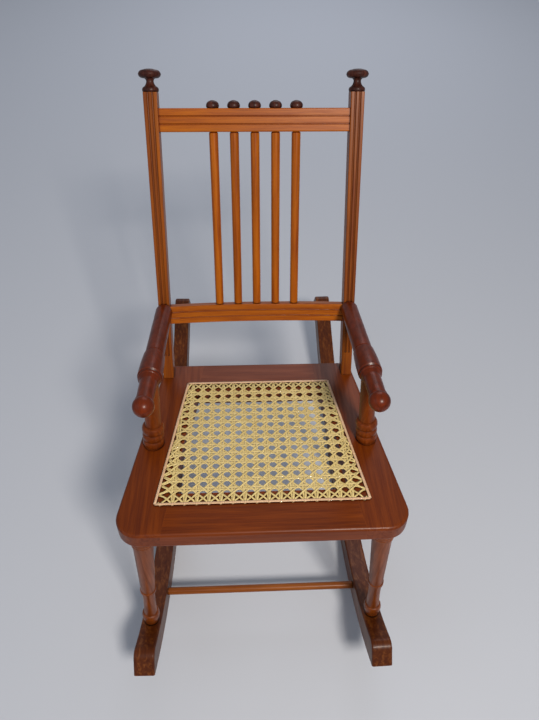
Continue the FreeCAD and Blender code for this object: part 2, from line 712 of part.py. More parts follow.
def arm_post(arm):
    """Right-hand arm post, with the rods that drill the seat and the arm for it."""
    foot, head = arm_post_line()
    up = unit(head - foot)
    body = turned(arm_post_profile((head - foot).Length), foot, up)
    under = block(Vector(0, -STOCK, -STOCK), Vector(STOCK, STOCK, 0))
    under.Placement = seat_placement()
    body = max(body.cut(under).cut(arm).Solids, key=lambda solid: solid.Volume)
    ends = [(foot + up * TRIM, foot - up * ARM_POST_TENON_LENGTH),
            (head - up * (ARM_SHAFT_RADIUS + TRIM), head + up * ARM_POST_TOP_TENON)]
    holes = []
    for inner, outer in ends:
        body = body.fuse(rod(inner, outer, ARM_POST_TENON))
        holes.append(rod(inner, outer + unit(outer - inner) * END_GAP, ARM_POST_TENON + FIT_GAP))
    return solid_of(body.removeSplitter()), holes


# --- the chair


def build_right_side():
    """Every piece that comes as a left and right pair, made for the right."""
    rocker = rocker_blank()
    front_leg, front_holes = leg(FRONT_LEG_TOP_HALF, FRONT_LEG_TOP_V, FRONT_LEG_FOOT_Y, rocker)
    rear_leg, rear_holes = leg(REAR_LEG_TOP_HALF, REAR_LEG_TOP_V, REAR_LEG_FOOT_Y, rocker)
    arm = armrest_blank()
    post, post_holes = arm_post(arm)
    back, back_hole = back_post()
    rail = side_rail_blank()
    for dowel in frame_dowels(DOWEL_DIAMETER / 2 + FIT_GAP, DOWEL_LENGTH + 2 * END_GAP):
        rail = rail.cut(dowel)
    rail = placed(rail.cut(cane_holes()), seat_placement())
    for hole in (front_holes[0], rear_holes[0], post_holes[0], back_hole):
        rail = rail.cut(hole)
    for hole in (front_holes[1], rear_holes[1],
                 stretcher(FRONT_STRETCHER_Y)[1], stretcher(REAR_STRETCHER_Y)[1]):
        rocker = rocker.cut(hole)
    finial = turned(topped(FINIAL_PROFILE, FINIAL_TENON_RADIUS, FINIAL_TENON_LENGTH),
                    Vector(post_half(POST_LENGTH), 0, POST_LENGTH), Z_AXIS)
    return {
        "rocker": solid_of(rocker), "front_leg": front_leg, "rear_leg": rear_leg,
        "seat_side_rail": solid_of(rail), "armrest": solid_of(arm.cut(post_holes[1])),
        "arm_post": post, "back_post": back, "finial": placed(finial, back_placement())}


def build_middle():
    """Every piece that crosses the plane of symmetry."""
    dowels = frame_dowels(DOWEL_DIAMETER / 2 + FIT_GAP, DOWEL_LENGTH + 2 * END_GAP)
    drills = Part.makeCompound(dowels + [mirrored(dowel) for dowel in dowels] + [cane_holes()])
    rear_near = SEAT_DEPTH - CROSS_RAIL_WIDTH
    pins = frame_dowels(DOWEL_DIAMETER / 2, DOWEL_LENGTH)
    in_seat = {
        "seat_front_rail": cross_rail_blank(0.0, CROSS_RAIL_WIDTH, 0.0).cut(drills),
        "seat_rear_rail": cross_rail_blank(rear_near, SEAT_DEPTH, SEAT_DEPTH).cut(drills),
        "seat_frame_dowels": Part.makeCompound(pins + [mirrored(pin) for pin in pins]),
        "cane_panel": cane_plate(-BINDING_WIDTH / 2 - FIT_GAP, CANE_THICK),
        "cane_binding": cane_plate(BINDING_WIDTH / 2, BINDING_THICK).cut(
            cane_plate(-BINDING_WIDTH / 2, BINDING_THICK))}
    in_back = {"top_rail": top_rail(), "lower_back_rail": lower_rail()}
    for number, x in enumerate(spindle_places(), 1):
        in_back["spindle_%d" % number] = spindle(x)
        crown = Vector(x, 0, POST_LENGTH - TOP_RAIL_BELOW_TOP)
        in_back["spindle_button_%d" % number] = turned(
            topped(BUTTON_PROFILE, BUTTON_TENON_RADIUS, BUTTON_TENON_LENGTH), crown, Z_AXIS)
    nodes = {name: placed(shape, seat_placement()) for name, shape in in_seat.items()}
    nodes.update({name: placed(shape, back_placement()) for name, shape in in_back.items()})
    nodes["front_stretcher"] = stretcher(FRONT_STRETCHER_Y)[0]
    nodes["rear_stretcher"] = stretcher(REAR_STRETCHER_Y)[0]
    return nodes


def build():
    nodes = build_middle()
    for name, shape in build_right_side().items():
        nodes[name + "_right"] = shape
        nodes[name + "_left"] = mirrored(shape)
    return nodes


os.makedirs("parts", exist_ok=True)
for node, shape in sorted(build().items()):
    shape.exportStep("parts/%s.step" % node)
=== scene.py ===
import bpy
import math
import random
from mathutils import Matrix, Vector


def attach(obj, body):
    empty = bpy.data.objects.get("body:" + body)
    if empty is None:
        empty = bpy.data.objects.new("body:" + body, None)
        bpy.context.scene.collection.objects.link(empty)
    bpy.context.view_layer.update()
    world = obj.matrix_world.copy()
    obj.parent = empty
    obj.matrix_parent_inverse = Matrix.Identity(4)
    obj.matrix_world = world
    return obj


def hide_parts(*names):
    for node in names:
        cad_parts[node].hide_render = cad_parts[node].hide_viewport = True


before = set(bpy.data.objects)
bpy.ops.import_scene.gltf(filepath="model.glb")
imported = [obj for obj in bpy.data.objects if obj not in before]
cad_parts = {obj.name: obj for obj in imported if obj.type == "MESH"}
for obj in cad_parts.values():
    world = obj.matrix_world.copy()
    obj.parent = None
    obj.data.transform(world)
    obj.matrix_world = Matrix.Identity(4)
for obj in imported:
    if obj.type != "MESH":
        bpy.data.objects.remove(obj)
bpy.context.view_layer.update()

bl_info = {
    "name": "Child's Rocking Chair",
    "version": (1, 0, 0),
    "blender": (4, 5, 0),
    "location": "View3D > Sidebar > Chair",
    "description": "Cane seat, varnished wood finishes and studio for a small turned rocking chair",
    "category": "Object",
}

MM = 0.001
SEAT_TILT = math.radians(8.6)        # the seat falls to the back
BACK_LEAN = math.radians(28.6)       # the back leans from upright
SEAT_FRONT = Vector((0.0, -286.4, 389.4)) * MM
CANE_FRONT_V = 41.0 * MM             # hole line along the front rail
CANE_REAR_V = 243.0 * MM             # hole line along the rear rail
CANE_FRONT_HALF = 126.9 * MM         # half width of the hole line in front
CANE_TAPER = 0.137                   # how fast it narrows towards the back
CANE_ROWS = 15                       # spaces between the side holes
CANE_COLUMNS = 8                     # pairs that run back, on each side of the middle
STRAND_STEP = 3.2 * MM               # distance between a strand's points
DIVE_LENGTH = 3.5 * MM               # a strand starts down this far from its hole
DIVE_DEPTH = 2.5 * MM                # how far its end goes into the hole
SHORTEST_STRAND = 4.0 * MM
DRAW_ASIDE = 11.0 * MM               # stretch over which a strand bends to its hole
WEAVE_RISE = 0.45 * MM               # a pair goes this far over and under the other set
DIAGONAL_RISE = 0.5 * MM
STRAND_LIFT = 1.35 * MM              # middle of the weave above the rails
CROWN_SHARE = 0.55                   # crown of a strand, as a share of its thickness
BINDER_LIFT = 1.9 * MM
BINDER_THICK = 0.8 * MM
COUCH_WIDTH = 1.5 * MM               # strand that holds the binder down at each hole
COUCH_THICK = 0.3 * MM
LOOP_LIFT = -24.0 * MM               # underside of the rails
LOOP_THICK = 0.4 * MM
BOARD_GRAIN = (38.0, 210.0)          # shades of a board, in mm across and along the grain
FIGURE_GRAIN = (5.0, 120.0)          # streaks
PORE_GRAIN = (1.1, 26.0)
STAIN_AND_SHADE_REACH = 2.6 * MM               # dark stain and painted shade lie this near to a joint
WORN_RADIUS = 1.6 * MM               # varnish is thin on edges sharper than this
WORN_GAIN = 1.6


# --- settings


class ChairCaneSettings(bpy.types.PropertyGroup):
    """Sizes of the woven seat."""

    pitch: bpy.props.FloatProperty(
        name="Hole pitch", description="Distance between holes along the front rail",
        default=14.2 * MM, unit="LENGTH")
    strand_width: bpy.props.FloatProperty(
        name="Strand width", description="Width of one strand of cane",
        default=2.7 * MM, unit="LENGTH")
    diagonal_width: bpy.props.FloatProperty(
        name="Diagonal width", description="Width of a diagonal strand",
        default=2.3 * MM, unit="LENGTH")
    strand_thick: bpy.props.FloatProperty(
        name="Strand thickness", description="Thickness of one strand",
        default=0.55 * MM, unit="LENGTH")
    pair_gap: bpy.props.FloatProperty(
        name="Pair spacing",
        description="Distance between the middles of the two strands of a pair",
        default=3.1 * MM, unit="LENGTH")
    binder_width: bpy.props.FloatProperty(
        name="Binder width", description="Width of the strip over the holes",
        default=3.2 * MM, unit="LENGTH")


class ChairFinishSettings(bpy.types.PropertyGroup):
    """Colours of the stained and varnished wood and of the cane."""

    honey: bpy.props.StringProperty(
        name="Honey", description="Rails and spindles", default="#9C5004")
    honey_dark: bpy.props.StringProperty(
        name="Honey, dark grain", description="Dark grain of the rails", default="#7E3803")
    mahogany: bpy.props.StringProperty(
        name="Mahogany", description="Seat frame", default="#682C04")
    mahogany_dark: bpy.props.StringProperty(
        name="Mahogany, dark grain", description="Dark grain of the seat frame", default="#562004")
    cane: bpy.props.StringProperty(
        name="Cane", description="Natural cane", default="#DCC98C")
    cane_dark: bpy.props.StringProperty(
        name="Cane, dark fibres", description="Darker fibres and knots", default="#C4AA68")


class ChairStageSettings(bpy.types.PropertyGroup):
    """Camera and studio."""

    camera_place: bpy.props.FloatVectorProperty(
        name="Camera", description="Where the camera stands", size=3, subtype="TRANSLATION",
        default=(-17.3 * MM, -560.6 * MM, 1026.3 * MM))
    camera_pitch: bpy.props.FloatProperty(
        name="Pitch", description="How far the camera looks down", default=math.radians(50.37),
        subtype="ANGLE")
    camera_yaw: bpy.props.FloatProperty(
        name="Yaw", description="How far the camera looks to the right", default=math.radians(3.62),
        subtype="ANGLE")
    camera_roll: bpy.props.FloatProperty(
        name="Roll", description="How far the camera leans",
        default=math.radians(-1.65), subtype="ANGLE")
    camera_lens: bpy.props.FloatProperty(
        name="Lens", description="Focal length for a 36 mm sensor",
        default=29.55, subtype="DISTANCE_CAMERA")


# --- node helpers


def linear(text, alpha=1.0):
    """Scene-linear colour of an sRGB hex string."""
    parts = [int(text[i:i + 2], 16) / 255.0 for i in (1, 3, 5)]
    bent = [c / 12.92 if c <= 0.04045 else ((c + 0.055) / 1.055) ** 2.4 for c in parts]
    return (*bent, alpha)


def add_node(tree, kind, settings=None, links=None):
    """Adds a node, sets its attributes or input sockets, and links its inputs
    from (node, output)."""
    node = tree.nodes.new(kind)
    for key, value in (settings or {}).items():
        if isinstance(key, str) and hasattr(node, key) and key not in node.inputs:
            setattr(node, key, value)
        else:
            node.inputs[key].default_value = value
    for key, (source, output) in (links or {}).items():
        tree.links.new(source.outputs[output], node.inputs[key])
    return node


def ramp(tree, source, output, stops):
    """Colour ramp of (place, colour) stops, driven by one output."""
    node = add_node(tree, "ShaderNodeValToRGB", links={"Fac": (source, output)})
    while len(node.color_ramp.elements) < len(stops):
        node.color_ramp.elements.new(0.5)
    for element, (place, colour) in zip(node.color_ramp.elements, stops):
        element.position = place
        element.color = colour
    return node


def mix(tree, fac, first, second, blend="MIX"):
    """Mixes two colours; each argument is a value, a colour or (node, output)."""
    node = tree.nodes.new("ShaderNodeMix")
    node.data_type = "RGBA"
    node.blend_type = blend
    for socket, value in ((node.inputs[0], fac), (node.inputs[6], first), (node.inputs[7], second)):
        if isinstance(value, tuple) and hasattr(value[0], "outputs"):
            tree.links.new(value[0].outputs[value[1]], socket)
        else:
            socket.default_value = value
    return node


BLACK = (0, 0, 0, 1)
WHITE = (1, 1, 1, 1)


def varnished_wood(name, light, main, dark, groove, along,
                   tilt=0.0, rough=0.38, coat=0.06, worn=0.30):
    """Stained softwood under satin varnish: streaks along the grain, fine pores, dark stain and
    painted shade (ambient occlusion) in grooves and joints, and paler worn edges. groove is the
    colour of that stain and painted shade. along is the grain's axis, after a tilt about X."""
    material = bpy.data.materials.new(name)
    material.use_nodes = True
    tree = material.node_tree
    tree.nodes.clear()
    place = add_node(tree, "ShaderNodeTexCoord")
    turned = add_node(tree, "ShaderNodeMapping", {"Rotation": (tilt, 0.0, 0.0)},
                      {"Vector": (place, "Object")})

    def stretched(across_mm, along_mm):
        sizes = [1000.0 / across_mm] * 3
        sizes["XYZ".index(along)] = 1000.0 / along_mm
        return add_node(tree, "ShaderNodeMapping", {"Scale": sizes}, {"Vector": (turned, "Vector")})

    board = add_node(tree, "ShaderNodeTexNoise", {"Scale": 1.0, "Detail": 2.0, "Roughness": 0.5},
                     {"Vector": (stretched(*BOARD_GRAIN), "Vector")})
    figure = add_node(tree, "ShaderNodeTexNoise",
                      {"Scale": 1.0, "Detail": 4.0, "Roughness": 0.6, "Distortion": 0.6},
                      {"Vector": (stretched(*FIGURE_GRAIN), "Vector")})
    pores = add_node(tree, "ShaderNodeTexNoise", {"Scale": 1.0, "Detail": 3.0, "Roughness": 0.65},
                     {"Vector": (stretched(*PORE_GRAIN), "Vector")})
    tone = ramp(tree, figure, "Fac",
                [(0.28, linear(dark)), (0.5, linear(main)), (0.76, linear(light))])
    patch = ramp(tree, board, "Fac", [(0.35, (0.72, 0.66, 0.60, 1)), (0.65, (1.08, 1.06, 1.04, 1))])
    tone = mix(tree, 0.55, (tone, 0), (patch, 0), "MULTIPLY")
    pore = ramp(tree, pores, "Fac", [(0.36, (0.45, 0.4, 0.38, 1)), (0.5, (1, 1, 1, 1))])
    tone = mix(tree, 0.25, (tone, 2), (pore, 0), "MULTIPLY")

    # painted shade where surfaces meet, within a few millimetres (ambient occlusion), darkening
    # toward the groove colour together with the stain that settles there
    hollow = add_node(tree, "ShaderNodeAmbientOcclusion", {"samples": 8, "Distance": STAIN_AND_SHADE_REACH})
    shut = ramp(tree, hollow, "AO", [(0.52, WHITE), (0.93, BLACK)])
    tone = mix(tree, (shut, 0), (tone, 2), linear(groove))

    # the varnish is rubbed thin on edges: the bevelled normal leaves the true one there
    soft = add_node(tree, "ShaderNodeBevel", {"samples": 4, "Radius": WORN_RADIUS})
    true = add_node(tree, "ShaderNodeNewGeometry")
    lean = add_node(tree, "ShaderNodeVectorMath", {"operation": "DOT_PRODUCT"},
                    {0: (soft, "Normal"), 1: (true, "Normal")})
    edge = ramp(tree, lean, "Value", [(0.86, WHITE), (0.985, BLACK)])
    thin = add_node(tree, "ShaderNodeMath", {"operation": "MULTIPLY", 1: worn * WORN_GAIN},
                    {0: (edge, 0)})
    rubbed = add_node(tree, "ShaderNodeMath", {"operation": "MULTIPLY"},
                      {0: (thin, 0), 1: (board, "Fac")})
    tone = mix(tree, (rubbed, 0), (tone, 2), linear(light))

    gloss = ramp(tree, figure, "Fac",
                 [(0.3, (rough + 0.08,) * 3 + (1,)), (0.7, (rough - 0.05,) * 3 + (1,))])
    height = add_node(tree, "ShaderNodeBump", {"Strength": 0.18, "Distance": 0.25 * MM},
                      {"Height": (pores, "Fac")})
    shader = add_node(tree, "ShaderNodeBsdfPrincipled",
                      {"Coat Weight": coat, "Coat Roughness": 0.16, "Coat IOR": 1.5, "IOR": 1.5,
                       "Specular IOR Level": 0.18},
                      {"Base Color": (tone, 2), "Roughness": (gloss, 0),
                       "Normal": (height, "Normal")})
    add_node(tree, "ShaderNodeOutputMaterial", links={"Surface": (shader, "BSDF")})
    return material


def natural_cane(name, light, dark):
    """Split rattan peel: glossy straw skin with long fibres, a different tone in every strand, and
    painted shade where strands cross.
    Its pattern follows the strand's own UV map, in millimetres along it."""
    material = bpy.data.materials.new(name)
    material.use_nodes = True
    tree = material.node_tree
    tree.nodes.clear()
    strand = add_node(tree, "ShaderNodeUVMap", {"uv_map": "strand"})
    fibre_map = add_node(tree, "ShaderNodeMapping", {"Scale": (0.02, 4.0, 1.0)},
                         {"Vector": (strand, "UV")})
    fibres = add_node(tree, "ShaderNodeTexNoise", {"Scale": 1.0, "Detail": 3.0},
                      {"Vector": (fibre_map, "Vector")})
    shade_map = add_node(tree, "ShaderNodeMapping", {"Scale": (0.012, 0.31, 1.0)},
                         {"Vector": (strand, "UV")})
    shade = add_node(tree, "ShaderNodeTexNoise", {"Scale": 1.0, "Detail": 1.0},
                     {"Vector": (shade_map, "Vector")})
    tone = ramp(tree, fibres, "Fac", [(0.32, linear(dark)), (0.6, linear(light))])
    cast = ramp(tree, shade, "Fac", [(0.3, (0.86, 0.82, 0.70, 1)), (0.62, (1.04, 1.03, 1.0, 1))])
    tone = mix(tree, 0.8, (tone, 0), (cast, 0), "MULTIPLY")
    # painted shade: ambient occlusion within 1.2 mm darkens the cane toward #8A6E38 where strands
    # cross and dive into the holes
    hollow = add_node(tree, "ShaderNodeAmbientOcclusion", {"samples": 5, "Distance": 1.2 * MM})
    shut = ramp(tree, hollow, "AO", [(0.10, WHITE), (0.55, BLACK)])
    tone = mix(tree, (shut, 0), (tone, 2), linear("#8A6E38"))
    height = add_node(tree, "ShaderNodeBump", {"Strength": 0.3, "Distance": 0.1 * MM},
                      {"Height": (fibres, "Fac")})
    shader = add_node(tree, "ShaderNodeBsdfPrincipled",
                      {"Roughness": 0.42, "IOR": 1.5, "Coat Weight": 0.15},
                      {"Base Color": (tone, 2), "Normal": (height, "Normal")})
    add_node(tree, "ShaderNodeOutputMaterial", links={"Surface": (shader, "BSDF")})
    return material


def finish_with(names, material):
    """Gives each CAD node of this list its finish."""
    for name in names:
        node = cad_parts[name]
        node.data.materials.clear()
        node.data.materials.append(material)


# --- cane


def on_seat(x, v, up=0.0):
    """A point in the seat's plane: x across, v back from the front edge, up above the rails."""
    back = Vector((0.0, math.cos(SEAT_TILT), -math.sin(SEAT_TILT)))
    out = Vector((0.0, math.sin(SEAT_TILT), math.cos(SEAT_TILT)))
    return SEAT_FRONT + Vector((x, 0.0, 0.0)) + back * v + out * up


def cane_half(v):
    """Half width of the hole line at v."""
    return CANE_FRONT_HALF - CANE_TAPER * (v - CANE_FRONT_V)


def row_v(row):
    """How far back the side holes of a row lie."""
    return CANE_FRONT_V + (CANE_REAR_V - CANE_FRONT_V) * row / CANE_ROWS


def deselect():
    for item in bpy.context.selected_objects:
        item.select_set(False)


def ribbon(path, width, thick, shift):
    """A flat strand that follows path, whose points are (x, v, up), crowned across its width.
    shift moves its UV map sideways, so that no two strands share a shade."""
    across = 4
    deselect()
    bpy.ops.mesh.primitive_grid_add(x_subdivisions=len(path) - 1, y_subdivisions=across, size=1.0)
    strand = bpy.context.object
    mesh = strand.data
    steps = len(path)
    points = [on_seat(*place) for place in path]
    out = Vector((0.0, math.sin(SEAT_TILT), math.cos(SEAT_TILT)))
    order = sorted(range(len(mesh.vertices)), key=lambda i: (
        round(mesh.vertices[i].co.x, 5), round(mesh.vertices[i].co.y, 5)))
    travelled = [0.0]
    for here, there in zip(points, points[1:]):
        travelled.append(travelled[-1] + (there - here).length / MM)
    places = {}
    for rank, index in enumerate(order):
        step, side = divmod(rank, across + 1)
        before = points[max(step - 1, 0)]
        after = points[min(step + 1, steps - 1)]
        sideways = (after - before).normalized().cross(out).normalized()
        share = 2.0 * side / across - 1.0
        crown = thick * (1.0 - share * share) * CROWN_SHARE
        mesh.vertices[index].co = points[step] - sideways * (share * width / 2) + out * crown
        places[index] = (travelled[step], side / across * width / MM + shift)
    layer = mesh.uv_layers.active or mesh.uv_layers.new()
    layer.name = "strand"
    for loop in mesh.loops:
        layer.data[loop.index].uv = places[loop.vertex_index]
    return strand


def woven_path(start, end, waves, lift):
    """Path from hole to hole, which dives into both holes.
    waves(x, v) is its height at a crossing."""
    (x0, v0), (x1, v1) = start, end
    length = math.hypot(x1 - x0, v1 - v0)
    count = max(6, int(length / STRAND_STEP))
    path = []
    for index in range(count + 1):
        share = index / count
        x = x0 + (x1 - x0) * share
        v = v0 + (v1 - v0) * share
        reach = min(share, 1.0 - share) * length
        rise = min(1.0, reach / DIVE_LENGTH)
        path.append((x, v, lift * rise + waves(x, v) * rise - DIVE_DEPTH * (1.0 - rise) ** 2))
    return path


def joined(strands, name, thick):
    """Joins strands into one piece and gives the flat ribbons their thickness."""
    deselect()
    for strand in strands:
        strand.select_set(True)
    bpy.context.view_layer.objects.active = strands[0]
    bpy.ops.object.join()
    piece = bpy.context.object
    piece.name = name
    piece.data.name = name
    wall = piece.modifiers.new("wall", "SOLIDIFY")
    wall.thickness = thick
    wall.offset = -1.0
    bpy.ops.object.modifier_apply(modifier=wall.name)
    bpy.ops.object.transform_apply(location=True, rotation=True, scale=True)
    bpy.ops.object.shade_smooth()
    return piece


def nearest(places, point):
    """The hole of places that lies nearest to point."""
    return min(places, key=lambda place: math.hypot(place[0] - point[0], place[1] - point[1]))


def cane_ring(pitch):
    """Centres of the holes round the frame, front, rear and both sides."""
    holes = []
    for v in (CANE_FRONT_V, CANE_REAR_V):
        x = pitch / 2
        while x < cane_half(v):
            holes += [(-x, v), (x, v)]
            x += pitch
    for row in range(1, CANE_ROWS):
        v = row_v(row)
        holes += [(-cane_half(v), v), (cane_half(v), v)]
    return holes


def clipped(x0, v0, dx, dv):
    """Where the line through (x0, v0) along (dx, dv) enters and leaves the trapezoid of holes."""
    low, high = -1e9, 1e9
    walls = [(0.0, -1.0, -CANE_FRONT_V), (0.0, 1.0, CANE_REAR_V)]
    limit = CANE_FRONT_HALF + CANE_TAPER * CANE_FRONT_V
    walls += [(1.0, CANE_TAPER, limit), (-1.0, CANE_TAPER, limit)]
    for nx, nv, bound in walls:
        speed = nx * dx + nv * dv
        room = bound - nx * x0 - nv * v0
        if abs(speed) < 1e-9:
            if room < 0:
                return None
        elif speed > 0:
            high = min(high, room / speed)
        else:
            low = max(low, room / speed)
    if high - low < SHORTEST_STRAND:
        return None
    return (x0 + dx * low, v0 + dv * low), (x0 + dx * high, v0 + dv * high)


class CHAIR_OT_cane(bpy.types.Operator):
    """Weave the seat: pairs across and back, two sets of diagonals, and a binder over the holes"""

    bl_idname = "chair.cane"
    bl_label = "Weave Cane Seat"

    def execute(self, context):
        cane = context.scene.chair_cane
        finish = context.scene.chair_finish
        rng = random.Random(7)
        material = natural_cane("natural_cane", finish.cane, finish.cane_dark)
        pitch = cane.pitch
        row = row_v(1) - row_v(0)
        holes = cane_ring(pitch)
        thick = cane.strand_thick
        strands = []

        def lay(line, width, waves, rise):
            if line is None:
                return
            ends = [nearest(holes, end) for end in line]
            path = bent_path(line, ends, waves, rise)
            strands.append(ribbon(path, width, thick, 7.0 * rng.random() + 5.0 * len(strands)))

        def bent_path(line, ends, waves, rise):
            """Along the line, with each end drawn aside to its hole over the last stretch."""
            straight = woven_path(line[0], line[1], waves, rise)
            (x0, v0), (x1, v1) = line
            length = math.hypot(x1 - x0, v1 - v0)
            draw = min(DRAW_ASIDE, length * 0.4)
            bent = []
            last = len(straight) - 1
            for index, (x, v, up) in enumerate(straight):
                along = length * index / last
                near = max(0.0, 1.0 - along / draw)
                far = max(0.0, 1.0 - (length - along) / draw)
                x += (ends[0][0] - x0) * near + (ends[1][0] - x1) * far
                v += (ends[0][1] - v0) * near + (ends[1][1] - v1) * far
                bent.append((x, v, up))
            return bent

        for column in range(-CANE_COLUMNS, CANE_COLUMNS):
            middle = (column + 0.5) * pitch
            for way in (-1, 1):
                x = middle + way * cane.pair_gap / 2
                line = clipped(x, row_v(0), 0.0, 1.0)
                lay(line, cane.strand_width, lambda x, v, w=way: w * WEAVE_RISE * math.cos(
                    math.pi * (v - row_v(0.5)) / row), STRAND_LIFT - 0.35 * MM)
        for step in range(1, CANE_ROWS - 1):
            middle = row_v(step + 0.5)
            for way in (-1, 1):
                v = middle + way * cane.pair_gap / 2
                line = clipped(0.0, v, 1.0, 0.0)
                lay(line, cane.strand_width, lambda x, v, w=way: -w * WEAVE_RISE * math.cos(
                    math.pi * (x / pitch - 0.5)), STRAND_LIFT - 0.2 * MM)
        slope = row / pitch
        for way in (-1, 1):
            for step in range(-3 * CANE_COLUMNS, 3 * CANE_COLUMNS + 1):
                x = (step + 0.5) * pitch
                line = clipped(x, row_v(0), way * 1.0, slope)
                lay(line, cane.diagonal_width, lambda x, v, w=way: w * DIAGONAL_RISE * math.cos(
                    2.0 * math.pi * (x / pitch - 0.5)), STRAND_LIFT + 0.35 * MM)
        panel = joined(strands, "cane_weave", thick)
        panel.data.materials.append(material)
        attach(panel, "root")
        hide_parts("cane_panel")

        binder = joined(self.binder(cane, rng), "cane_binder", 0.9 * MM)
        binder.data.materials.append(natural_cane("binder_cane", "#DCB998", "#C09A74"))
        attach(binder, "root")
        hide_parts("cane_binding")

        loops = joined(self.loops(cane, holes), "cane_loops_below", thick)
        loops.data.materials.append(material)
        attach(loops, "root")
        return {"FINISHED"}

    def binder(self, cane, rng):
        """The flat strip along each side of the hole line, and a couching strand over it
        at each hole."""
        strips = []
        front, rear = CANE_FRONT_V, CANE_REAR_V
        corners = [(-cane_half(front), front), (cane_half(front), front),
                   (cane_half(rear), rear), (-cane_half(rear), rear)]
        for number, (start, end) in enumerate(zip(corners, corners[1:] + corners[:1])):
            path = []
            count = 40
            for index in range(count + 1):
                share = index / count
                path.append((start[0] + (end[0] - start[0]) * share,
                             start[1] + (end[1] - start[1]) * share, BINDER_LIFT))
            strips.append(ribbon(path, cane.binder_width, BINDER_THICK, 40.0 * number))
        for x, v in cane_ring(cane.pitch):
            flat = abs(v - front) < MM or abs(v - rear) < MM
            side = (0.0, 1.0) if flat else (1.0, 0.0)
            reach = cane.binder_width / 2 + 0.5 * MM
            path = []
            for step in range(7):
                share = step / 3.0 - 1.0
                path.append((x + side[0] * reach * share, v + side[1] * reach * share,
                             (2.45 - 1.7 * abs(share) ** 4) * MM))
            strips.append(ribbon(path, COUCH_WIDTH, COUCH_THICK, 90.0 * rng.random()))
        return strips

    def loops(self, cane, holes):
        """Short strands under the rails, from hole to hole."""
        strips = []
        front = sorted(h for h in holes if abs(h[1] - CANE_FRONT_V) < MM)
        rear = sorted(h for h in holes if abs(h[1] - CANE_REAR_V) < MM)
        sides = []
        for way in (-1, 1):
            sides.append(sorted(
                (h for h in holes
                 if CANE_FRONT_V + MM < h[1] < CANE_REAR_V - MM and h[0] * way > 0),
                key=lambda h: h[1]))
        for line in (front, rear, *sides):
            for start, end in zip(line[::2], line[1::2]):
                path = []
                for step in range(9):
                    share = step / 8.0
                    dip = 1.0 - (2.0 * share - 1.0) ** 6
                    path.append((start[0] + (end[0] - start[0]) * share,
                                 start[1] + (end[1] - start[1]) * share,
                                 LOOP_LIFT + 1.2 * MM - dip * 1.9 * MM))
                strips.append(ribbon(path, cane.strand_width, LOOP_THICK, 60.0 + len(strips)))
        return strips


# --- finishes of the wooden pieces


class CHAIR_OT_finishes(bpy.types.Operator):
    """Stain and varnish every wooden piece"""

    bl_idname = "chair.finishes"
    bl_label = "Finish the Wood"

    def execute(self, context):
        tone = context.scene.chair_finish
        names = sorted(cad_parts)
        honey = dict(light="#AE620C", main=tone.honey, dark=tone.honey_dark, groove="#5E1E04")
        red = dict(light="#7A380A", main=tone.mahogany, dark=tone.mahogany_dark, groove="#2A0A02")
        finish_with(["top_rail", "lower_back_rail"],
                    varnished_wood("honey_rail", along="X", tilt=BACK_LEAN, rough=0.34, worn=0.15,
                                   **honey))
        finish_with(["front_stretcher", "rear_stretcher"],
                    varnished_wood("stretcher_wood", "#9E5A1C", "#84460F", "#6C3008", "#341204",
                                   "X"))
        finish_with([n for n in names if n.startswith("spindle_") and "button" not in n],
                    varnished_wood("spindle_wood", along="Z", tilt=BACK_LEAN, rough=0.32, **honey))
        finish_with(["back_post_left", "back_post_right"],
                    varnished_wood("reeded_post", "#9A520C", "#7E400A", "#662A06", "#300802", "Z",
                                   tilt=BACK_LEAN))
        finish_with(["seat_front_rail", "seat_rear_rail"],
                    varnished_wood("seat_cross_rail", along="X", tilt=SEAT_TILT, worn=0.6, **red))
        finish_with(["seat_side_rail_left", "seat_side_rail_right"],
                    varnished_wood("seat_side_rail", along="Y", tilt=SEAT_TILT, worn=0.5, **red))
        finish_with(["armrest_left", "armrest_right"],
                    varnished_wood("arm_turning", "#72290A", "#5C2106", "#4A1804", "#220802", "Y",
                                   tilt=math.radians(-17.0), rough=0.32))
        finish_with(["arm_post_left", "arm_post_right"],
                    varnished_wood("arm_post_turning", "#7E3A0C", "#692E08", "#562206", "#260A02",
                                   "Z", rough=0.32))
        finish_with([n for n in names if "leg_" in n],
                    varnished_wood("leg_turning", "#8A4614", "#72360C", "#5C2808", "#240C04", "Z"))
        finish_with(["rocker_left", "rocker_right"],
                    varnished_wood("rocker_wood", "#7C4820", "#532609", "#421A06", "#200C02",
                                   "Y", worn=0.8))
        dark = varnished_wood("dark_turning", "#5A3024", "#3A1A12", "#260E0A", "#140604", "Z",
                              tilt=BACK_LEAN, rough=0.42, coat=0.06, worn=0.2)
        finish_with([n for n in names if n.startswith("finial") or "button" in n], dark)
        finish_with(["seat_frame_dowels"],
                    varnished_wood("dowel_beech", "#C8A070", "#B08858", "#8E6A40", "#604020",
                                   "X", coat=0.0))
        return {"FINISHED"}


# --- stage


def soft_lamp(name, place, aim, size, power, colour):
    """A square area lamp of this size in metres, turned to aim."""
    data = bpy.data.lights.new(name, "AREA")
    data.shape = "SQUARE"
    data.size = size
    data.energy = power
    data.color = linear(colour)[:3]
    lamp = bpy.data.objects.new(name, data)
    bpy.context.scene.collection.objects.link(lamp)
    lamp.location = place
    lamp.rotation_mode = "QUATERNION"
    lamp.rotation_quaternion = (Vector(aim) - Vector(place)).to_track_quat("-Z", "Y")
    return lamp


def studio_floor(colour):
    """Pale matt floor, which takes the chair's shadow."""
    material = bpy.data.materials.new("studio_floor")
    material.use_nodes = True
    tree = material.node_tree
    tree.nodes.clear()
    shader = add_node(tree, "ShaderNodeBsdfPrincipled",
                      {"Base Color": linear(colour), "Roughness": 0.85, "Specular IOR Level": 0.2})
    add_node(tree, "ShaderNodeOutputMaterial", links={"Surface": (shader, "BSDF")})
    return material


